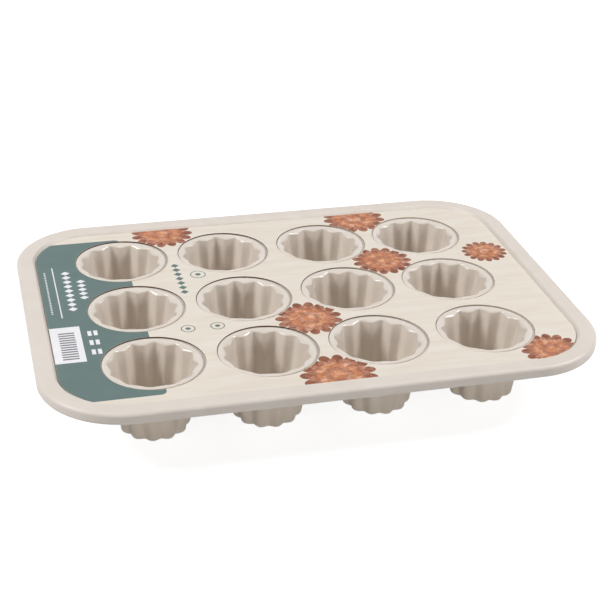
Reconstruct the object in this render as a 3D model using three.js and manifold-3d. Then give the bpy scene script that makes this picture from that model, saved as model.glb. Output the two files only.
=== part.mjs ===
// Twelve-cup canele pan with a lift-off label card.
// Millimetres, +Z up. X runs along the long side, -Y faces the viewer.
// The cups stand on z = 0 and the pan is centred on the origin.
import * as THREE from 'three';
import { mergeVertices } from 'three/addons/utils/BufferGeometryUtils.js';
import Module from 'manifold-3d';

const wasm = await Module();
wasm.setup();

// Overall sizes
const PAN_LENGTH = 373;
const PAN_WIDTH = 272;
const PAN_HEIGHT = 48;
const CORNER_R = 55;
const SHEET = 0.8;

// Rim, from the outer face inwards
const EDGE_R = 2.5;
const RIM_WIDTH = 12;
const STEP_DROP = 3;
const STEP_RUN = 1.4;
const STEP_ROUND = 0.5;
const FIELD_LAP = 3;
const SKIRT_DROP = 8.3;
const WIRE_R = 1.5;
const CURL_TIP_DEG = 405;

// Cups. Radii are to the creases of the flutes, which reach furthest out.
const PITCH = 75;
const FLUTES = 12;
const POINTS_PER_FLUTE = 3;
const MOUTH_R = 28.8;
const MOUTH_FLUTE = 2.3;
const FOOT_R = 23.6;
const FOOT_FLUTE = 2;
const FOOT_ROUND = 4.4;
const LIP_RUN = 1.3;
const LIP_DROP = 1.3;
const FLANGE_LAP = 1.7;
const BEAD_LAP = 1.2;
const BEAD_HEIGHT = 1.5;
const EDGE_BREAK = 0.3;
// Each cup was pressed in at its own angle, in degrees. Rows from front to back.
const CUP_TURNS = [
  [-11.4, 6.4, 7, -14.6],
  [3.9, 0.8, 10.9, -8.4],
  [8.1, -1.8, 10.3, -12.5],
];

// Label card and the glue dots that hold it
const CARD_T = 1;
const CARD_GAP = 0.5;
const CARD_CLEAR = 1.2;
const CARD_LAND = 8;
const DOT_R = 5;
const DOT_T = 0.35;

// Clearances
const SLIP = 0.15;
const REST = 0.05;
const NECK_FIT = 0.2;

// Levels and fits that follow from the sizes above
const FIELD_TOP = PAN_HEIGHT - STEP_DROP;
const FIELD_BOTTOM = FIELD_TOP - SHEET;
const FIELD_INSET = RIM_WIDTH + STEP_RUN + STEP_ROUND;
const CURL_R = WIRE_R + SLIP + SHEET;
const CURL_Z = PAN_HEIGHT - SKIRT_DROP + CURL_R;
const LIP_R = MOUTH_R + LIP_RUN;
const NECK_R = MOUTH_R + 2 * SHEET;
const PLATE_HOLE_R = NECK_R + NECK_FIT;
const BEAD_R = PLATE_HOLE_R + BEAD_LAP;
const FLANGE_R = PLATE_HOLE_R + FLANGE_LAP;
const CARD_HOLE_R = FLANGE_R + CARD_CLEAR;
const FLANGE_BOTTOM = FIELD_TOP + REST;
const FLANGE_TOP = FLANGE_BOTTOM + SHEET;
const DOT_BOTTOM = FIELD_TOP + REST;
const CARD_BOTTOM = DOT_BOTTOM + DOT_T + REST;
const CARD_INSET = FIELD_INSET + CARD_GAP;

// As many cups as fit with the least land of card around the outer holes.
const EDGE_MARGIN = CARD_INSET + CARD_HOLE_R + CARD_LAND;
const ROWS = 1 + Math.floor((PAN_WIDTH - 2 * EDGE_MARGIN) / PITCH);
const COLS = 1 + Math.floor((PAN_LENGTH - 2 * EDGE_MARGIN) / PITCH);

// Facets
const HOLE_POINTS = FLUTES * POINTS_PER_FLUTE;
const CORNER_POINTS = 8;

const coated = { color: 0xd9cfc3, roughness: 0.42, metalness: 0.25 };
const finishes = {
  pan: coated,
  cup: { ...coated, color: 0xd2c7ba },
  wire: { color: 0xb4b4b0, roughness: 0.4, metalness: 1 },
  card: { color: 0xe9e1d3, roughness: 0.7, metalness: 0 },
  glue: { color: 0xe6e0cc, roughness: 0.5, metalness: 0 },
};

const group = new THREE.Group();
group.name = 'canele_pan';

function addMesh(name, geometry, finish) {
  const material = new THREE.MeshStandardMaterial(finishes[finish]);
  const mesh = new THREE.Mesh(geometry, material);
  mesh.name = name;
  group.add(mesh);
  return mesh;
}

// Corner points of a rounded rectangle set in from the pan's outer face.
function roundedRect(inset) {
  const points = [];
  const radius = CORNER_R - inset;
  const x = PAN_LENGTH / 2 - CORNER_R;
  const y = PAN_WIDTH / 2 - CORNER_R;
  const corners = [[x, y], [-x, y], [-x, -y], [x, -y]];
  corners.forEach(([cx, cy], quarter) => {
    for (let k = 0; k <= CORNER_POINTS; k += 1) {
      const angle = (quarter + k / CORNER_POINTS) * Math.PI / 2;
      const px = cx + radius * Math.cos(angle);
      const py = cy + radius * Math.sin(angle);
      points.push(new THREE.Vector2(px, py));
    }
  });
  return points;
}

function geometryFrom(vertices, triangles) {
  const geometry = new THREE.BufferGeometry();
  geometry.setAttribute('position', new THREE.Float32BufferAttribute(vertices, 3));
  geometry.setIndex(triangles);
  geometry.computeVertexNormals();
  return geometry;
}

// Skin through rings of equal count. A looped skin joins its last ring to its
// first; an open one is closed by a fan of triangles at each end.
function skin(rings, looped) {
  const count = rings[0].length;
  const vertices = rings.flat().flatMap((p) => [p.x, p.y, p.z]);
  const triangles = [];
  const spans = looped ? rings.length : rings.length - 1;
  for (let k = 0; k < spans; k += 1) {
    const low = k * count;
    const high = ((k + 1) % rings.length) * count;
    for (let j = 0; j < count; j += 1) {
      const next = (j + 1) % count;
      triangles.push(low + j, low + next, high + next);
      triangles.push(low + j, high + next, high + j);
    }
  }
  if (!looped) {
    const last = (rings.length - 1) * count;
    const first = vertices.length / 3;
    vertices.push(0, 0, rings[0][0].z);
    vertices.push(0, 0, rings[rings.length - 1][0].z);
    for (let j = 0; j < count; j += 1) {
      const next = (j + 1) % count;
      triangles.push(first, next, j);
      triangles.push(first + 1, last + j, last + next);
    }
  }
  return geometryFrom(vertices, triangles);
}

// Profile points are [inset from the outer face, height].
function sweptRim(profile) {
  const rings = profile.map(([inset, z]) => (
    roundedRect(inset).map((p) => new THREE.Vector3(p.x, p.y, z))
  ));
  return skin(rings, true);
}

function arc(inset, z, radius, fromDeg, toDeg, steps) {
  const points = [];
  for (let k = 0; k <= steps; k += 1) {
    const angle = THREE.MathUtils.degToRad(fromDeg + (toDeg - fromDeg) * k / steps);
    points.push([inset + radius * Math.cos(angle), z + radius * Math.sin(angle)]);
  }
  return points;
}

function toManifold(geometry) {
  const plain = geometry.clone();
  plain.deleteAttribute('normal');
  plain.deleteAttribute('uv');
  const merged = mergeVertices(plain, 1e-4);
  return new wasm.Manifold(new wasm.Mesh({
    numProp: 3,
    vertProperties: new Float32Array(merged.attributes.position.array),
    triVerts: new Uint32Array(merged.index.array),
  }));
}

function fromManifold(solid) {
  const mesh = solid.getMesh();
  return geometryFrom(Array.from(mesh.vertProperties), Array.from(mesh.triVerts));
}

function cupCentres() {
  const centres = [];
  for (let row = 0; row < ROWS; row += 1) {
    for (let col = 0; col < COLS; col += 1) {
      const x = (col - (COLS - 1) / 2) * PITCH;
      const y = (row - (ROWS - 1) / 2) * PITCH;
      centres.push({ row, col, x, y });
    }
  }
  return centres;
}

// Flat sheet with one round hole over every cup.
function piercedSheet(inset, holeRadius, thickness) {
  const shape = new THREE.Shape(roundedRect(inset));
  cupCentres().forEach(({ x, y }) => {
    const points = [];
    for (let k = 0; k < HOLE_POINTS; k += 1) {
      const angle = -2 * Math.PI * k / HOLE_POINTS;
      const px = x + holeRadius * Math.cos(angle);
      const py = y + holeRadius * Math.sin(angle);
      points.push(new THREE.Vector2(px, py));
    }
    shape.holes.push(new THREE.Path(points));
  });
  return new THREE.ExtrudeGeometry(shape, { depth: thickness, bevelEnabled: false });
}

// Top plate: recessed field, step, flat rim, skirt and the curl under it.
function topPlate() {
  const stepEnd = RIM_WIDTH + STEP_RUN;
  const slope = Math.hypot(STEP_RUN, STEP_DROP - 2 * STEP_ROUND);
  const backX = SHEET * (STEP_DROP - 2 * STEP_ROUND) / slope;
  const backZ = SHEET * STEP_RUN / slope;
  const stepHigh = PAN_HEIGHT - STEP_ROUND;
  const stepLow = FIELD_TOP + STEP_ROUND;
  const fieldEnd = FIELD_INSET + FIELD_LAP;
  const profile = [
    ...arc(CURL_R, CURL_Z, CURL_R, CURL_TIP_DEG, 180, 5),
    ...arc(EDGE_R, PAN_HEIGHT - EDGE_R, EDGE_R, 180, 90, 3),
    [RIM_WIDTH - STEP_ROUND, PAN_HEIGHT],
    [RIM_WIDTH, stepHigh],
    [stepEnd, stepLow],
    [FIELD_INSET, FIELD_TOP],
    [fieldEnd, FIELD_TOP],
    [fieldEnd, FIELD_BOTTOM],
    [FIELD_INSET - SHEET / 2, FIELD_BOTTOM],
    [stepEnd - backX, stepLow - backZ],
    [RIM_WIDTH - backX, stepHigh - backZ],
    [RIM_WIDTH - STEP_ROUND - SHEET / 2, PAN_HEIGHT - SHEET],
    ...arc(EDGE_R, PAN_HEIGHT - EDGE_R, EDGE_R - SHEET, 90, 180, 3),
    ...arc(CURL_R, CURL_Z, CURL_R - SHEET, 180, CURL_TIP_DEG, 5),
  ];
  const field = piercedSheet(fieldEnd - FIELD_LAP / 2, PLATE_HOLE_R, SHEET);
  field.translate(0, 0, FIELD_BOTTOM);
  return fromManifold(toManifold(sweptRim(profile)).add(toManifold(field)));
}

// One ring of a cup: the crease of each flute reaches the radius, and the
// blunt ridge between two creases stands in by the flute depth.
function fluteRing(z, radius, depth) {
  const ring = [];
  for (let k = 0; k < HOLE_POINTS; k += 1) {
    const angle = 2 * Math.PI * k / HOLE_POINTS;
    const r = k % POINTS_PER_FLUTE === 0 ? radius : radius - depth;
    ring.push(new THREE.Vector3(r * Math.cos(angle), r * Math.sin(angle), z));
  }
  return ring;
}

// Cup: fluted wall and foot, a flange lying on the plate, a neck through the
// plate's hole and a crimped bead under it.
function cup() {
  const beadTop = FIELD_BOTTOM - SLIP;
  const wallTop = beadTop - BEAD_HEIGHT;
  const innerFoot = FOOT_ROUND + SHEET / 3;
  const wallTopR = MOUTH_R + SHEET / 2;
  const rings = [
    fluteRing(0, FOOT_R - FOOT_ROUND, 0.8 * FOOT_FLUTE),
    fluteRing(0.3 * FOOT_ROUND, FOOT_R - 0.3 * FOOT_ROUND, 0.9 * FOOT_FLUTE),
    fluteRing(FOOT_ROUND, FOOT_R, FOOT_FLUTE),
    fluteRing(wallTop, wallTopR, MOUTH_FLUTE),
    fluteRing(wallTop, BEAD_R - EDGE_BREAK, 0),
    fluteRing(beadTop - BEAD_HEIGHT / 2, BEAD_R, 0),
    fluteRing(beadTop, NECK_R, 0),
    fluteRing(FLANGE_BOTTOM, NECK_R, 0),
    fluteRing(FLANGE_BOTTOM, FLANGE_R, 0),
    fluteRing(FLANGE_TOP, FLANGE_R - EDGE_BREAK, 0),
    fluteRing(FLANGE_TOP, LIP_R, 0),
    fluteRing(FLANGE_TOP - 0.3 * LIP_DROP, MOUTH_R + 0.4 * LIP_RUN, 0.6 * MOUTH_FLUTE),
    fluteRing(FLANGE_TOP - LIP_DROP, MOUTH_R, MOUTH_FLUTE),
    fluteRing(innerFoot, FOOT_R - SHEET, FOOT_FLUTE),
    fluteRing(SHEET, FOOT_R - FOOT_ROUND - SHEET / 2, 0.6 * FOOT_FLUTE),
  ];
  return skin(rings, false);
}

addMesh('top_plate', topPlate(), 'pan');

// Wire inside the curl, which stiffens the rim.
const wireRings = arc(CURL_R, CURL_Z, WIRE_R, 360, 0, 8).slice(0, -1);
addMesh('rim_wire', sweptRim(wireRings), 'wire');

cupCentres().forEach(({ row, col, x, y }) => {
  const mesh = addMesh(`cup_row${row + 1}_col${col + 1}`, cup(), 'cup');
  mesh.position.set(x, y, 0);
  const turns = CUP_TURNS[row % CUP_TURNS.length];
  mesh.rotation.z = THREE.MathUtils.degToRad(turns[col % turns.length]);
});

const card = addMesh('label_card', piercedSheet(CARD_INSET, CARD_HOLE_R, CARD_T), 'card');
card.position.z = CARD_BOTTOM;

// Glue dots sit where four cups leave the most room.
let dot = 0;
for (let row = 0; row < ROWS - 1; row += 1) {
  for (let col = 0; col < COLS - 1; col += 1) {
    const disc = new THREE.CylinderGeometry(DOT_R, DOT_R, DOT_T, 16);
    disc.rotateX(Math.PI / 2);
    dot += 1;
    const mesh = addMesh(`glue_dot_${dot}`, disc, 'glue');
    const x = (col - (COLS - 2) / 2) * PITCH;
    const y = (row - (ROWS - 2) / 2) * PITCH;
    mesh.position.set(x, y, DOT_BOTTOM + DOT_T / 2);
  }
}

export default group;
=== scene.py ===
import math

import bmesh
import bpy
from mathutils import Matrix, Vector


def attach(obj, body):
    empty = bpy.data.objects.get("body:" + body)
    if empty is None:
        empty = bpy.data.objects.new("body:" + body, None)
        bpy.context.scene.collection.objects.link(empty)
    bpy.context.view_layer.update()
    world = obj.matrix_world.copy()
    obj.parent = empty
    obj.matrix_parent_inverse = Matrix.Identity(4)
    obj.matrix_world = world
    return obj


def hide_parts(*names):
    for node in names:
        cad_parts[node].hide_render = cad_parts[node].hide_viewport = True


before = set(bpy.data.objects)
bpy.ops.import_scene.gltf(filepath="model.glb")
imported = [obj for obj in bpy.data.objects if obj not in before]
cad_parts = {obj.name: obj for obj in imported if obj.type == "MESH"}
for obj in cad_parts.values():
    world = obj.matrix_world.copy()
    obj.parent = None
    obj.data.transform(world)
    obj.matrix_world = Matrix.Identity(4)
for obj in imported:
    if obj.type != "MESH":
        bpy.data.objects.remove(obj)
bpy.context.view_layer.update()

MM = 0.001

# Sizes of the solids, in millimetres, as in the part's source.
PAN_LENGTH, PAN_WIDTH, PAN_HEIGHT = 373.0, 272.0, 48.0
CORNER_R, SHEET = 55.0, 0.8
EDGE_R, RIM_WIDTH, STEP_DROP, STEP_RUN, STEP_ROUND = 2.5, 12.0, 3.0, 1.4, 0.5
FIELD_LAP, SKIRT_DROP, WIRE_R, CURL_TIP_DEG = 3.0, 8.3, 1.5, 405
ROWS, COLS, PITCH, FLUTES = 3, 4, 75.0, 12
MOUTH_R, FOOT_R, FOOT_ROUND = 28.8, 23.6, 4.4
LIP_RUN, LIP_DROP = 1.3, 1.3
FLANGE_LAP, BEAD_LAP, BEAD_HEIGHT = 1.7, 1.2, 1.5
CUP_TURNS = [[-11.4, 6.4, 7.0, -14.6], [3.9, 0.8, 10.9, -8.4], [8.1, -1.8, 10.3, -12.5]]
CARD_CLEAR = 1.2
DOT_R, DOT_T = 5.0, 0.35
SLIP, REST, NECK_FIT = 0.15, 0.05, 0.2

# Finer sizes that only the look needs.
MOUTH_FLUTE, FOOT_FLUTE, RIDGE_DROP = 2.4, 2.2, 0.9
CREASE_ROUND, FOOT_CREASE_ROUND, RIDGE_ROUND, LIP_SLOPE = 0.12, 0.4, 0.26, 0.1
STEP_TOP_R, STEP_FOOT_R, FLANGE_EDGE_R, BEAD_EDGE_R = 1.6, 1.1, 0.4, 0.5
CARD_T, CARD_INSET, HOLE_SHIFT = 0.7, 13.6, 0.8
BOTTOM_FLAT_R, BOTTOM_HUB_R, BOTTOM_FLUTE, BEAD_RISE = 9.0, 0.5, 0.2, 0.02
DOT_UNEVEN = 0.012

# Print on the card: its levels, the reach of the cutting tools, and how far it runs past the card.
PRINT_LIFT, PRINT_DEPTH, PRINT_TRIM, CUT_REACH, BLEED = 0.03, 0.2, 0.15, 5.0, 2.0
SHARP_R, LOZENGE_SHARE = 0.05, 0.42
# Places along the card between which the painted shade on its cut edge fades out, from dark brown to the
# board's pale colour.
EDGE_SHADE_DARK_TO, EDGE_SHADE_GONE_FROM = -20.0, 110.0

# Steps of the round forms.
CORNER_STEPS, HOLE_POINTS, CURL_STEPS, EDGE_STEPS, STEP_STEPS = 24, 96, 22, 12, 6
POINTS_PER_FLUTE, FOOT_STEPS, OUTER_STEPS, LIP_STEPS, INNER_STEPS, FLOOR_STEPS = 18, 10, 8, 14, 10, 9
ROLL_STEPS, BLOCK_STEPS, POINTS_PER_PETAL, DOT_STEPS, DOT_POINTS = 6, 12, 12, 8, 48

# Levels and fits that follow from the sizes above.
FIELD_TOP = PAN_HEIGHT - STEP_DROP
FIELD_BOTTOM = FIELD_TOP - SHEET
FIELD_INSET = RIM_WIDTH + STEP_RUN + STEP_ROUND
CURL_R = WIRE_R + SLIP + SHEET
CURL_Z = PAN_HEIGHT - SKIRT_DROP + CURL_R
LIP_R = MOUTH_R + LIP_RUN
NECK_R = MOUTH_R + 2 * SHEET
PLATE_HOLE_R = NECK_R + NECK_FIT
BEAD_R = PLATE_HOLE_R + BEAD_LAP
FLANGE_R = PLATE_HOLE_R + FLANGE_LAP
CARD_HOLE_R = FLANGE_R + CARD_CLEAR
FLANGE_BOTTOM = FIELD_TOP + REST
FLANGE_TOP = FLANGE_BOTTOM + SHEET
CARD_BOTTOM = FIELD_TOP + REST + DOT_T + REST
CARD_TOP = CARD_BOTTOM + CARD_T

scene = bpy.context.scene


# Materials

def linear(r, g, b):
    """An 8-bit display colour as the shader's linear colour."""
    out = []
    for v in (r, g, b):
        v /= 255
        out.append(v / 12.92 if v <= 0.04045 else ((v + 0.055) / 1.055) ** 2.4)
    return (*out, 1)


class Nodes:
    """Small helper around one material's node tree."""

    def __init__(self, name):
        self.material = bpy.data.materials.new(name)
        self.material.use_nodes = True
        self.tree = self.material.node_tree
        self.shader = self.tree.nodes["Principled BSDF"]

    def add(self, kind):
        return self.tree.nodes.new(kind)

    def link(self, a, b):
        self.tree.links.new(a, b)

    def colour(self, socket):
        self.link(socket, self.shader.inputs["Base Color"])

    def rough(self, socket):
        self.link(socket, self.shader.inputs["Roughness"])

    def coords(self, scale=(1, 1, 1)):
        source = self.add("ShaderNodeTexCoord")
        mapping = self.add("ShaderNodeMapping")
        mapping.inputs["Scale"].default_value = scale
        self.link(source.outputs["Object"], mapping.inputs["Vector"])
        return mapping.outputs["Vector"]

    def noise(self, vector, scale, detail=3.0, rough=0.5):
        node = self.add("ShaderNodeTexNoise")
        node.inputs["Scale"].default_value = scale
        node.inputs["Detail"].default_value = detail
        node.inputs["Roughness"].default_value = rough
        self.link(vector, node.inputs["Vector"])
        return node.outputs["Fac"]

    def ramp(self, fac, stops):
        node = self.add("ShaderNodeValToRGB")
        ramp = node.color_ramp
        while len(ramp.elements) < len(stops):
            ramp.elements.new(0.5)
        for element, (place, colour) in zip(ramp.elements, stops):
            element.position = place
            element.color = colour
        self.link(fac, node.inputs["Fac"])
        return node.outputs["Color"]

    def remap(self, fac, low, high):
        node = self.add("ShaderNodeMapRange")
        node.inputs["To Min"].default_value = low
        node.inputs["To Max"].default_value = high
        self.link(fac, node.inputs["Value"])
        return node.outputs["Result"]

    def bump(self, height, strength, distance):
        node = self.add("ShaderNodeBump")
        node.inputs["Strength"].default_value = strength
        node.inputs["Distance"].default_value = distance
        self.link(height, node.inputs["Height"])
        self.link(node.outputs["Normal"], self.shader.inputs["Normal"])

    def set(self, **values):
        for key, value in values.items():
            self.shader.inputs[key.replace("_", " ")].default_value = value


def coated_steel(name, low, high, rough, gloss=0.0):
    """Satin nonstick coating with a fine grain, and a clear gloss over it where there is one."""
    n = Nodes(name)
    v = n.coords()
    n.colour(n.ramp(n.noise(v, 55, 4), [(0.3, low), (0.7, high)]))
    n.rough(n.remap(n.noise(v, 160, 2), rough - 0.05, rough + 0.05))
    n.bump(n.noise(v, 1400, 2), 0.12, 0.00012)
    n.set(Metallic=0.0, Specular_IOR_Level=0.42, Coat_Weight=gloss, Coat_Roughness=0.14)
    return n.material


def printed(name, stops, streak=(1, 1, 1), scale=90, rough=0.62):
    """Ink on card: mottled colour over a fine paper fibre."""
    n = Nodes(name)
    n.colour(n.ramp(n.noise(n.coords(streak), scale, 5, 0.6), stops))
    fibre = n.noise(n.coords(), 900, 3)
    n.rough(n.remap(fibre, rough - 0.06, rough + 0.06))
    n.bump(fibre, 0.1, 0.00008)
    n.set(Specular_IOR_Level=0.3)
    return n.material


def bare_wire():
    """Drawn steel with fine lines along it."""
    n = Nodes("drawn_wire")
    v = n.coords((1, 1, 40))
    n.colour(n.ramp(n.noise(v, 300, 3), [(0.2, linear(150, 149, 146)), (0.8, linear(190, 189, 184))]))
    n.rough(n.remap(n.noise(v, 500, 2), 0.28, 0.45))
    n.set(Metallic=1.0)
    return n.material


def soft_glue():
    """Milky peel-off glue with an uneven skin."""
    n = Nodes("peel_off_glue")
    v = n.coords()
    n.colour(n.ramp(n.noise(v, 400, 3), [(0.3, linear(222, 214, 190)), (0.7, linear(236, 231, 214))]))
    n.bump(n.noise(v, 700, 2), 0.3, 0.0002)
    n.set(Roughness=0.35, Subsurface_Weight=0.15)
    return n.material


def cut_edge():
    """Raw pale edge of the board, with painted shade that turns it dark brown towards the green end."""
    n = Nodes("card_cut_edge_painted_shade")
    split = n.add("ShaderNodeSeparateXYZ")
    n.link(n.coords(), split.inputs["Vector"])
    along = n.add("ShaderNodeMapRange")
    along.inputs["From Min"].default_value = EDGE_SHADE_DARK_TO * MM
    along.inputs["From Max"].default_value = EDGE_SHADE_GONE_FROM * MM
    n.link(split.outputs["X"], along.inputs["Value"])
    # Painted shade: dark brown at the green end, fading to the board's own pale colour.
    n.colour(n.ramp(along.outputs["Result"], [(0.0, linear(92, 59, 40)), (1.0, linear(206, 192, 176))]))
    n.set(Roughness=0.8, Specular_IOR_Level=0.2)
    return n.material


def two_tone(name, low, high, scale):
    """Print or board of one colour with a slight mottle."""
    return printed(name, [(0.3, linear(*low)), (0.7, linear(*high))], scale=scale)


def petal(name, dark, mid, pale):
    """Ink of one tier of petals, blotched from dark to pale."""
    return printed(name, [(0.3, linear(*dark)), (0.52, linear(*mid)), (0.74, linear(*pale))], scale=230)


STEEL = coated_steel("coated_steel", linear(223, 213, 203), linear(228, 219, 210), 0.42)
CUP_STEEL = coated_steel("coated_steel_cup",
                         linear(221, 210, 198), linear(227, 217, 206), 0.3, gloss=0.8)
# A lighter copy of the cups' coating: painted light that brightens their shaded outsides.
CUP_OUTSIDE_PAINTED_LIGHT = coated_steel("coated_steel_cup_outside_painted_light",
                           linear(234, 219, 201), linear(240, 226, 209), 0.42)
CREAM = printed("card_cream_print",
                [(0.25, linear(229, 218, 203)), (0.5, linear(235, 226, 213)), (0.75, linear(238, 231, 221))],
                streak=(1, 6, 1), scale=24)
CARD_EDGE_PAINTED_SHADE = cut_edge()
CARD_BACK = two_tone("card_bare_back", (206, 192, 176), (224, 212, 198), 500)
GREEN = two_tone("card_green_print", (100, 120, 118), (105, 125, 123), 60)
WHITE = two_tone("card_white_print", (240, 239, 242), (247, 246, 248), 80)
GREY = two_tone("card_grey_print", (118, 116, 122), (140, 138, 144), 400)
PETAL_DARK = petal("card_petal_dark", (106, 62, 46), (150, 94, 72), (196, 148, 126))
PETAL_MID = petal("card_petal_mid", (148, 96, 76), (184, 126, 100), (216, 172, 150))
PETAL_WARM = petal("card_petal_warm", (176, 106, 72), (210, 142, 102), (238, 202, 180))
WIRE = bare_wire()
GLUE = soft_glue()


# Mesh helpers

def mesh_object(name, bm):
    """A new object in metres from a mesh drawn in millimetres."""
    bmesh.ops.recalc_face_normals(bm, faces=bm.faces)
    bmesh.ops.scale(bm, vec=(MM, MM, MM), verts=bm.verts)
    mesh = bpy.data.meshes.new(name)
    bm.to_mesh(mesh)
    bm.free()
    obj = bpy.data.objects.new(name, mesh)
    scene.collection.objects.link(obj)
    return obj


def dress(obj, materials, body, smooth_deg=None):
    """Materials and body of one piece, and its smoothing if it has any."""
    obj.data.materials.clear()
    for material in materials:
        obj.data.materials.append(material)
    if smooth_deg is not None:
        obj.data.shade_smooth()
        obj.data.set_sharp_from_angle(angle=math.radians(smooth_deg))
    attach(obj, body)


def rounded_rect(inset):
    """The pan's outline, set in from its outer face."""
    points = []
    radius = CORNER_R - inset
    x, y = PAN_LENGTH / 2 - CORNER_R, PAN_WIDTH / 2 - CORNER_R
    for quarter, (cx, cy) in enumerate([(x, y), (-x, y), (-x, -y), (x, -y)]):
        for k in range(CORNER_STEPS + 1):
            a = (quarter + k / CORNER_STEPS) * math.pi / 2
            points.append((cx + radius * math.cos(a), cy + radius * math.sin(a)))
    return points


def circle(cx, cy, radius, count=HOLE_POINTS):
    """Points of a circle in plan."""
    turn = 2 * math.pi / count
    angles = [turn * k for k in range(count)]
    return [(cx + radius * math.cos(a), cy + radius * math.sin(a)) for a in angles]


def cup_centres():
    """Row, column and place of each cup, from front left to back right."""
    for row in range(ROWS):
        for col in range(COLS):
            yield row, col, (col - (COLS - 1) / 2) * PITCH, (row - (ROWS - 1) / 2) * PITCH


def loft(bm, rings, looped=False):
    """Quads through rings of equal count; returns the rings' vertices."""
    rows = [[bm.verts.new(p) for p in ring] for ring in rings]
    pairs = list(zip(rows, rows[1:]))
    if looped:
        pairs.append((rows[-1], rows[0]))
    for low, high in pairs:
        count = len(low)
        for j in range(count):
            k = (j + 1) % count
            bm.faces.new((low[j], low[k], high[k], high[j]))
    return rows


def closed_loft(bm, rings):
    """A loft with a face over its first and its last ring."""
    rows = loft(bm, rings)
    bm.faces.new(rows[0][::-1])
    bm.faces.new(rows[-1])


def raised(points, z):
    """A plan outline set at one height."""
    return [(x, y, z) for x, y in points]


def fill(bm, loops):
    """Flat triangulated face between an outer loop and its holes."""
    edges = []
    for verts in loops:
        for a, b in zip(verts, verts[1:] + verts[:1]):
            edges.append(bm.edges.get((a, b)) or bm.edges.new((a, b)))
    bmesh.ops.triangle_fill(bm, use_beauty=True, edges=edges)


def arc(d, z, radius, start, end, steps):
    """Points of an arc in the rim's section, between two angles in degrees."""
    out = []
    for k in range(steps + 1):
        a = math.radians(start + (end - start) * k / steps)
        out.append((d + radius * math.cos(a), z + radius * math.sin(a)))
    return out


def fillet(a, b, c, radius, steps):
    """Points of a round corner at b between the lines from a and to c."""
    u = (Vector(a) - Vector(b)).normalized()
    v = (Vector(c) - Vector(b)).normalized()
    half = u.angle(v) / 2
    centre = Vector(b) + (u + v).normalized() * (radius / math.sin(half))
    start = Vector(b) + u * (radius / math.tan(half)) - centre
    stop = Vector(b) + v * (radius / math.tan(half)) - centre
    return [tuple(centre + start.lerp(stop, k / steps).normalized() * radius) for k in range(steps + 1)]


# Top plate

def rim_profile():
    """(inset, height) along the plate's upper face, from the curl's tip to the field."""
    lead = STEP_RUN / (STEP_DROP - 2 * STEP_ROUND) * STEP_ROUND
    flat = (RIM_WIDTH / 2, PAN_HEIGHT)
    edge = (RIM_WIDTH - lead, PAN_HEIGHT)
    foot = (RIM_WIDTH + STEP_RUN + lead, FIELD_TOP)
    end = (FIELD_INSET + FIELD_LAP, FIELD_TOP)
    top = arc(CURL_R, CURL_Z, CURL_R, CURL_TIP_DEG, 180, CURL_STEPS)
    top += arc(EDGE_R, PAN_HEIGHT - EDGE_R, EDGE_R, 180, 90, EDGE_STEPS)
    top += [flat]
    top += fillet(flat, edge, foot, STEP_TOP_R, STEP_STEPS)
    top += fillet(edge, foot, end, STEP_FOOT_R, STEP_STEPS)
    return top + [end]


def build_plate():
    """The rim's section swept round the outline, and the pierced field."""
    top = rim_profile()
    under = []
    for k, p in enumerate(top):
        along = Vector(top[min(k + 1, len(top) - 1)]) - Vector(top[max(k - 1, 0)])
        along.normalize()
        under.append((p[0] + along.y * SHEET, p[1] - along.x * SHEET))
    bm = bmesh.new()
    rows = loft(bm, [raised(rounded_rect(d), z) for d, z in top + under[::-1]], looped=True)
    inner_top, inner_under = rows[len(top) - 1], rows[len(top)]
    ends = set(inner_top) | set(inner_under)
    wall = [f for f in bm.faces if ends.issuperset(f.verts)]
    bmesh.ops.delete(bm, geom=wall, context="FACES_ONLY")
    upper, lower = [inner_top], [inner_under]
    for _, _, x, y in cup_centres():
        rim = circle(x, y, PLATE_HOLE_R)
        hole = loft(bm, [raised(rim, FIELD_TOP), raised(rim, FIELD_BOTTOM)])
        upper.append(hole[0])
        lower.append(hole[1])
    fill(bm, upper)
    fill(bm, lower)
    obj = mesh_object("pan_plate", bm)
    dress(obj, [STEEL], "pan", 40)
    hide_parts("top_plate")


# Cups

def flute(across, crease):
    """0 in the crease of a flute, 1 on the blunt ridge beside it."""
    v = abs(across)
    if v < crease:
        h = v * v / (2 * crease)
    elif v < 1 - RIDGE_ROUND:
        h = v - crease / 2
    else:
        h = 1 - crease / 2 - RIDGE_ROUND / 2 * (1 + ((1 - v) / RIDGE_ROUND) ** 2)
    return h / (1 - crease / 2 - RIDGE_ROUND / 2)


def wall_ring(z, radius, depth=0.0, drop=0.0, crease=CREASE_ROUND):
    """One ring of a cup, given at its creases; the ridges stand in by depth and lie lower by drop."""
    return crease, lambda h: (radius - depth * h, z - drop * h)


def lip_ring(a):
    """One ring of the rolled lip: round in the creases, a rounded slope on the ridges."""
    def place(h):
        power = 1 + LIP_SLOPE * h
        run = (LIP_RUN + MOUTH_FLUTE * h) * math.sin(a) ** power
        fall = (LIP_DROP + RIDGE_DROP * h) * (1 - math.cos(a) ** power)
        return LIP_R - run, FLANGE_TOP - fall
    return CREASE_ROUND, place


def between(low, high, t):
    """The value a share t of the way from low to high."""
    return low + t * (high - low)


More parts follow.
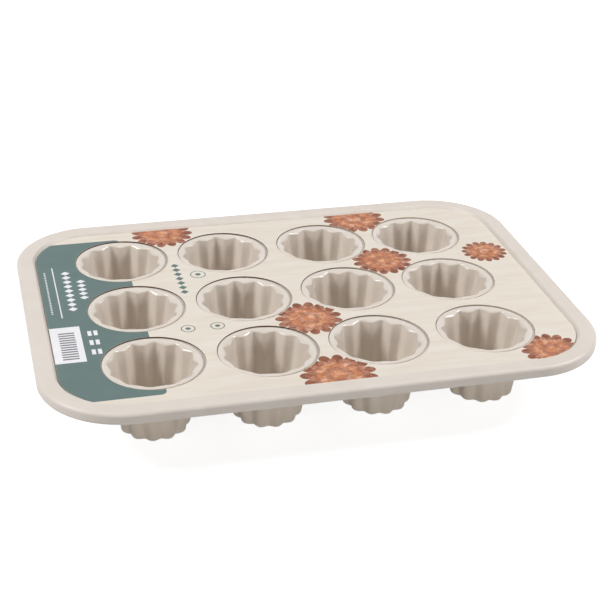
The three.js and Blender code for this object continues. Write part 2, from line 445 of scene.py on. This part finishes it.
def outer_rings():
    """Foot and wall, the crimped bead under the plate, the neck and the flange's edge."""
    bead_top = FIELD_BOTTOM - SLIP
    wall_top = bead_top - BEAD_HEIGHT
    rings = [wall_ring(0, BOTTOM_HUB_R),
             wall_ring(0, BOTTOM_FLAT_R, BOTTOM_FLUTE * FOOT_FLUTE, 0, FOOT_CREASE_ROUND)]
    for k in range(FOOT_STEPS + 1):
        a = math.radians(90 * k / FOOT_STEPS)
        radius = FOOT_R - FOOT_ROUND * (1 - math.sin(a))
        rings.append(wall_ring(FOOT_ROUND * (1 - math.cos(a)), radius, FOOT_FLUTE, 0, FOOT_CREASE_ROUND))
    for k in range(1, OUTER_STEPS + 1):
        t = k / OUTER_STEPS
        rings.append(wall_ring(between(FOOT_ROUND, wall_top, t), between(FOOT_R, MOUTH_R + SHEET / 2, t),
                               between(FOOT_FLUTE, MOUTH_FLUTE, t), 0,
                               between(FOOT_CREASE_ROUND, CREASE_ROUND, t)))
    rings.append(wall_ring(wall_top + BEAD_RISE, BEAD_R - BEAD_EDGE_R))
    for k in range(ROLL_STEPS + 1):
        a = math.radians(between(-70, 80, k / ROLL_STEPS))
        radius = BEAD_R - BEAD_EDGE_R * (1 - math.cos(a))
        rings.append(wall_ring(bead_top - BEAD_HEIGHT / 2 * (1 - math.sin(a)), radius))
    rings += [wall_ring(bead_top, NECK_R), wall_ring(FLANGE_BOTTOM, NECK_R)]
    for k in range(ROLL_STEPS + 1):
        a = math.radians(between(-90, 90, k / ROLL_STEPS))
        radius = FLANGE_R - FLANGE_EDGE_R * (1 - math.cos(a))
        rings.append(wall_ring(FLANGE_BOTTOM + SHEET / 2 * (1 + math.sin(a)), radius))
    return rings


def inner_rings():
    """The lip, the wall and the floor of the cup."""
    top = FLANGE_TOP - LIP_DROP
    foot = FOOT_ROUND + SHEET / 3
    rings = [lip_ring(math.radians(90 * k / LIP_STEPS)) for k in range(LIP_STEPS + 1)]
    for k in range(1, INNER_STEPS + 1):
        t = k / INNER_STEPS
        rings.append(wall_ring(between(top, foot, t), between(MOUTH_R, FOOT_R - SHEET, t),
                               between(MOUTH_FLUTE, FOOT_FLUTE, t), RIDGE_DROP * (1 - t),
                               between(CREASE_ROUND, FOOT_CREASE_ROUND, t)))
    rise, run = foot - SHEET, FOOT_ROUND - SHEET / 2
    for k in range(1, FLOOR_STEPS + 1):
        a = math.radians(90 * k / FLOOR_STEPS)
        radius = FOOT_R - SHEET - run * (1 - math.cos(a))
        rings.append(wall_ring(SHEET + rise * (1 - math.sin(a)), radius,
                               FOOT_FLUTE * between(0.7, 1.0, math.cos(a)), 0, FOOT_CREASE_ROUND))
    rings.append(wall_ring(SHEET, BOTTOM_FLAT_R, BOTTOM_FLUTE * FOOT_FLUTE, 0, FOOT_CREASE_ROUND))
    return rings + [wall_ring(SHEET, BOTTOM_HUB_R)]


def build_cups():
    """Fluted cups, each turned by its own angle; their outsides have a lighter copy of the coating, which is
    painted light.
    """
    around = FLUTES * POINTS_PER_FLUTE
    outside, inside = outer_rings(), inner_rings()
    for row, col, x, y in cup_centres():
        turn = math.radians(CUP_TURNS[row][col])
        loops = []
        for crease, place in outside + inside:
            loop = []
            for k in range(around):
                across = 2 * (k % POINTS_PER_FLUTE) / POINTS_PER_FLUTE - 1
                r, z = place(flute(across, crease))
                a = 2 * math.pi * (k / POINTS_PER_FLUTE - 0.5) / FLUTES + turn
                loop.append((x + r * math.cos(a), y + r * math.sin(a), z))
            loops.append(loop)
        bm = bmesh.new()
        closed_loft(bm, loops)
        node = f"cup_row{row + 1}_col{col + 1}"
        obj = mesh_object("fluted_" + node, bm)
        dress(obj, [CUP_STEEL, CUP_OUTSIDE_PAINTED_LIGHT], "pan", 50)
        for polygon in obj.data.polygons[:(len(outside) - 1) * around]:
            polygon.material_index = 1
        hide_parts(node)


# Card, its print and its glue

def card_holes(trim=0.0):
    """The card's holes, which sit a little to the right of the cups."""
    return [circle(x + HOLE_SHIFT, y, CARD_HOLE_R + trim) for _, _, x, y in cup_centres()]


def build_card():
    """The pierced card: print above, raw board below and at its cut edges, which carry painted shade."""
    bm = bmesh.new()
    upper, lower = [], []
    for loop in [rounded_rect(CARD_INSET)] + card_holes():
        rows = loft(bm, [raised(loop, CARD_TOP), raised(loop, CARD_BOTTOM)])
        upper.append(rows[0])
        lower.append(rows[1])
    fill(bm, upper)
    fill(bm, lower)
    obj = mesh_object("printed_card", bm)
    dress(obj, [CREAM, CARD_EDGE_PAINTED_SHADE, CARD_BACK], "card", 40)
    for polygon in obj.data.polygons:
        polygon.material_index = 1 - round(polygon.normal.z)
    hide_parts("label_card")


def prism(name, loops, low, high):
    """Closed flat solids from outlines, as one object."""
    bm = bmesh.new()
    for loop in loops:
        closed_loft(bm, [raised(loop, low), raised(loop, high)])
    return mesh_object(name, bm)


def cut(obj, tool, operation):
    """Cuts one object with another."""
    modifier = obj.modifiers.new("cut", "BOOLEAN")
    modifier.operation = operation
    modifier.solver = "EXACT"
    modifier.object = tool
    with bpy.context.temp_override(object=obj, active_object=obj, selected_objects=[obj]):
        bpy.ops.object.modifier_apply(modifier="cut")


class Print:
    """Thin layers of ink on the card, trimmed by its holes and its edge."""

    def __init__(self):
        low, high = CARD_TOP - CUT_REACH, CARD_TOP + CUT_REACH
        self.holes = prism("holes", card_holes(PRINT_TRIM), low, high)
        self.sheet = prism("sheet", [rounded_rect(CARD_INSET + PRINT_TRIM)], low, high)

    def layer(self, name, loops, material, level):
        obj = prism(name, loops, CARD_TOP - PRINT_DEPTH, CARD_TOP + level * PRINT_LIFT)
        cut(obj, self.holes, "DIFFERENCE")
        cut(obj, self.sheet, "INTERSECT")
        dress(obj, [material], "card")

    def done(self):
        bpy.data.objects.remove(self.holes)
        bpy.data.objects.remove(self.sheet)


def block(x0, x1, y0, y1, right_r=SHARP_R):
    """Rectangle whose right corners may be round."""
    out = []
    corners = [(x1, y1, right_r), (x0, y1, SHARP_R), (x0, y0, SHARP_R), (x1, y0, right_r)]
    for quarter, (x, y, r) in enumerate(corners):
        cx = x - math.copysign(r, x - (x0 + x1) / 2)
        cy = y - math.copysign(r, y - (y0 + y1) / 2)
        for k in range(BLOCK_STEPS + 1):
            a = (quarter + k / BLOCK_STEPS) * math.pi / 2
            out.append((cx + r * math.cos(a), cy + r * math.sin(a)))
    return out


def lozenges(x, y0, y1, count, half_width):
    """A row of plain lozenges along the card's short side."""
    pitch = (y1 - y0) / count
    half = LOZENGE_SHARE * pitch
    out = []
    for k in range(count):
        y = y0 + (k + 0.5) * pitch
        out.append([(x + half_width, y), (x, y + half), (x - half_width, y), (x, y - half)])
    return out


def rosette(cx, cy, radius, petals, phase):
    """Outline with round petals and sharp notches between them."""
    out = []
    notch, bluntness = 0.72, 0.55
    count = petals * POINTS_PER_PETAL
    for k in range(count):
        a = 2 * math.pi * k / count
        r = radius * between(notch, 1, abs(math.cos(petals * a / 2)) ** bluntness)
        out.append((cx + r * math.cos(a + phase), cy + r * math.sin(a + phase)))
    return out


def print_green_end(ink):
    """Green block at one end of the card with a white panel, plain bars, rules and lozenges."""
    left = CARD_INSET - PAN_LENGTH / 2 - BLEED
    ink.layer("print_green_block", [block(left, -109.3, -114.8, 111, right_r=4)], GREEN, 1)
    ink.layer("print_white_panel", [block(left, -152.8, -65, -17.5)], WHITE, 2)
    bar_pitch, bar_width = 3.1, 1.6
    bar_fronts = [-61 + bar_pitch * k for k in range(12)]
    bars = [block(-167.5, -157, y, y + bar_width) for y in bar_fronts]
    ink.layer("print_plain_bars", bars, GREY, 3)
    ink.layer("print_white_rule", [block(-162.9, -162.1, -4, 73)], WHITE, 2)
    long_row = lozenges(-154, 4, 66, 9, 3.2)
    short_row = lozenges(-144.6, 20, 51, 5, 3.2)
    ink.layer("print_white_lozenges", long_row + short_row, WHITE, 2)
    dot_pitch, dot_r, dot_points = 2.6, 0.7, 16
    dots = [circle(-168.4, 3 + dot_pitch * k, dot_r, dot_points) for k in range(25)]
    ink.layer("print_white_dots", dots, WHITE, 2)
    wide, deep = 2.6, 6.5
    squares = [block(x, x + wide, y, y + deep) for x in (-148.5, -144.5) for y in (-57, -44.5, -32)]
    ink.layer("print_white_squares", squares, WHITE, 2)


def print_small_marks(ink):
    """Plain green lozenges and thin rings on the cream ground."""
    ink.layer("print_green_lozenges", lozenges(-75.5, 14, 63, 7, 3), GREEN, 1)
    # Each ring: its place and its radius.
    rings = [(-61.5, 42.5, 5.6), (-82.5, -35.5, 4.9), (-62.5, -35.5, 4.9)]
    line, dot_share = 0.7, 0.35
    points, dot_points = 48, 32
    edges = [circle(x, y, r, points) for x, y, r in rings]
    ink.layer("print_ring_edges", edges, GREEN, 1)
    grounds = [circle(x, y, r - line, points) for x, y, r in rings]
    ink.layer("print_ring_grounds", grounds, CREAM, 2)
    dots = [circle(x, y, dot_share * r, dot_points) for x, y, r in rings]
    ink.layer("print_ring_dots", dots, GREEN, 3)


def print_flowers(ink):
    """Layered brown rosettes scattered between the cups."""
    # Each flower: its place, its radius and its turn.
    flowers = [(0, -37.5, 23, 0.5), (75, 37.5, 22, 0.3), (0, -114, 25, 0.1), (146, -112, 21, 0.15),
               (75, 113, 24, 0.2), (-76, 115, 23, 0.35), (155, 37.5, 17, 0.0)]
    # Each tier from the lowest: its share of the radius, its petals and its ink.
    tiers = [(1.0, 15, PETAL_DARK), (0.8, 15, PETAL_MID), (0.6, 12, PETAL_WARM), (0.4, 9, PETAL_MID),
             (0.22, 7, PETAL_WARM)]
    turn_per_tier = 0.21
    for level, (share, petals, material) in enumerate(tiers):
        turn = turn_per_tier * level
        loops = [rosette(x, y, share * r, petals, phase + turn) for x, y, r, phase in flowers]
        ink.layer(f"print_flowers_{level + 1}", loops, material, 1 + level)


def build_dots():
    """Soft glue dots under the card, each a little uneven."""
    number = 0
    for row in range(ROWS - 1):
        for col in range(COLS - 1):
            number += 1
            x, y = (col - (COLS - 2) / 2) * PITCH, (row - (ROWS - 2) / 2) * PITCH
            rings = []
            for k in range(DOT_STEPS + 1):
                tilt = math.radians(between(-90, 90, k / DOT_STEPS))
                radius = DOT_R - DOT_T * (1 - math.cos(tilt))
                z = FIELD_TOP + REST + DOT_T / 2 * (1 + math.sin(tilt))
                ring = []
                for q in range(DOT_POINTS):
                    a = 2 * math.pi * q / DOT_POINTS
                    r = radius * (1 - DOT_UNEVEN * (1 - math.sin(3 * a + number)))
                    ring.append((x + r * math.cos(a), y + r * math.sin(a), z))
                rings.append(ring)
            bm = bmesh.new()
            closed_loft(bm, rings)
            obj = mesh_object(f"soft_glue_dot_{number}", bm)
            dress(obj, [GLUE], "card", 60)
            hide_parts(f"glue_dot_{number}")


def dress_wire():
    """The wire keeps its solid and gets a material."""
    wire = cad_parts["rim_wire"]
    wire.data.materials.clear()
    wire.data.materials.append(WIRE)


# Stage, lights and camera

# The floor lies a little under the feet, so that no two faces coincide. Lengths here are in metres.
FLOOR_HALF, FLOOR_Z = 6.0, -0.0003
FLOOR_DARK, FLOOR_PALE, FLOOR_SEEN = (0.37, 0.37, 0.37, 1), (0.39, 0.39, 0.39, 1), 0.88
WORLD_LIGHT, WORLD_SEEN = 0.08, 1.0
# Each lamp: its name, place, aim, diameter and power in watts.
LAMPS = [("left", (-1.5, 0.1, 1.25), (0, 0, 0.03), 0.6, 25.5),
         ("right", (1.4, -0.2, 1.35), (0, 0, 0.03), 0.6, 22.5),
         ("front", (0.0, -1.8, 0.18), (0, 0, 0.02), 0.7, 10.5)]
# The camera as fitted to the photograph; the lens and the sensor are in millimetres.
CAMERA_RIGHT = (0.9685499, -0.2476234, 0.0243652)
CAMERA_DOWN = (-0.0949793, -0.4584463, -0.8836323)
CAMERA_PLACE = (-0.2200939, -0.8462534, 0.4986680)
CAMERA_SENSOR, CAMERA_LENS = 36, 82.586


def background_rays(tree):
    """1 on rays that see the background: the camera's, and those in reflections and glass."""
    path = tree.nodes.new("ShaderNodeLightPath")
    seen = path.outputs["Is Camera Ray"]
    for name in ("Is Glossy Ray", "Is Transmission Ray"):
        node = tree.nodes.new("ShaderNodeMath")
        node.operation = "MAXIMUM"
        tree.links.new(seen, node.inputs[0])
        tree.links.new(path.outputs[name], node.inputs[1])
        seen = node.outputs[0]
    return seen


def build_stage():
    """Pale floor that renders white and keeps the object's soft shadow."""
    n = Nodes("pale_floor")
    tone = n.noise(n.coords(), 3, 2)
    n.colour(n.ramp(tone, [(0.3, FLOOR_DARK), (0.7, FLOOR_PALE)]))
    n.set(Roughness=0.9, Specular_IOR_Level=0.0, Emission_Color=(1, 1, 1, 1))
    n.link(n.remap(background_rays(n.tree), 0.0, FLOOR_SEEN), n.shader.inputs["Emission Strength"])
    half = FLOOR_HALF
    corners = raised([(-half, -half), (half, -half), (half, half), (-half, half)], FLOOR_Z)
    mesh = bpy.data.meshes.new("floor")
    mesh.from_pydata(corners, [], [(0, 1, 2, 3)])
    mesh.materials.append(n.material)
    floor = bpy.data.objects.new("floor", mesh)
    scene.collection.objects.link(floor)


def area(name, place, target, size, power):
    """One round lamp that faces its aim."""
    lamp = bpy.data.lights.new(name, "AREA")
    lamp.shape = "DISK"
    lamp.size = size
    lamp.energy = power
    obj = bpy.data.objects.new(name, lamp)
    obj.location = place
    obj.rotation_euler = (Vector(target) - Vector(place)).to_track_quat("-Z", "Y").to_euler()
    scene.collection.objects.link(obj)


def build_light():
    """White world that lights weakly, a lamp on each side and a low one in front."""
    world = bpy.data.worlds.new("studio")
    scene.world = world
    world.use_nodes = True
    tree = world.node_tree
    ground = tree.nodes["Background"]
    ground.inputs["Color"].default_value = (1, 1, 1, 1)
    strength = tree.nodes.new("ShaderNodeMapRange")
    strength.inputs["To Min"].default_value = WORLD_LIGHT
    strength.inputs["To Max"].default_value = WORLD_SEEN
    tree.links.new(background_rays(tree), strength.inputs["Value"])
    tree.links.new(strength.outputs["Result"], ground.inputs["Strength"])
    for lamp in LAMPS:
        area(*lamp)


def build_camera():
    """The camera at the photograph's viewing angle."""
    right = Vector(CAMERA_RIGHT)
    down = Vector(CAMERA_DOWN)
    ahead = right.cross(down)
    data = bpy.data.cameras.new("camera")
    data.sensor_width = CAMERA_SENSOR
    data.lens = CAMERA_LENS
    cam = bpy.data.objects.new("camera", data)
    axes = Matrix((right, -down, -ahead)).transposed()
    cam.matrix_world = Matrix.Translation(CAMERA_PLACE) @ axes.to_4x4()
    scene.collection.objects.link(cam)
    scene.camera = cam


build_plate()
build_cups()
dress_wire()
build_card()
ink = Print()
print_green_end(ink)
print_small_marks(ink)
print_flowers(ink)
ink.done()
build_dots()
build_stage()
build_light()
build_camera()
scene.view_settings.view_transform = "Standard"
